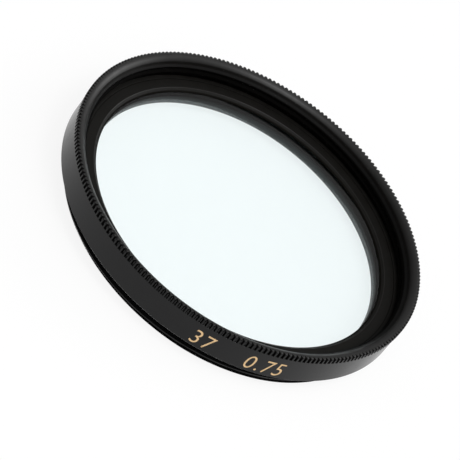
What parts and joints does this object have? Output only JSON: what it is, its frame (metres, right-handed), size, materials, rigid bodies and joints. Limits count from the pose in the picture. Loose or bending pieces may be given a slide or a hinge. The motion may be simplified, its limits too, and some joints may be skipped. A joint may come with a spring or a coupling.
{
  "type": "screw in lens filter",
  "caption": "Round lens filter: a black turned frame with a knurled front rim, a threaded spigot behind and a threaded mouth in front, holding a flat glass disc under a thin ring.",
  "frame": {"origin": "on the filter's axis, in the plane of the rear end of the threaded spigot", "axes": "+Z along the axis, from the threaded rear end to the front; X and Y are equal by symmetry"},
  "size_m": [0.0396, 0.0396, 0.0058],
  "materials": {
    "frame": "black anodised, satin",
    "glass": "clear, polished",
    "ring": "black anodised, matte"
  },
  "bodies": {
    "root": {"filter_frame": "frame", "glass_disc": "glass", "retaining_ring": "ring"}
  },
  "joints": []
}
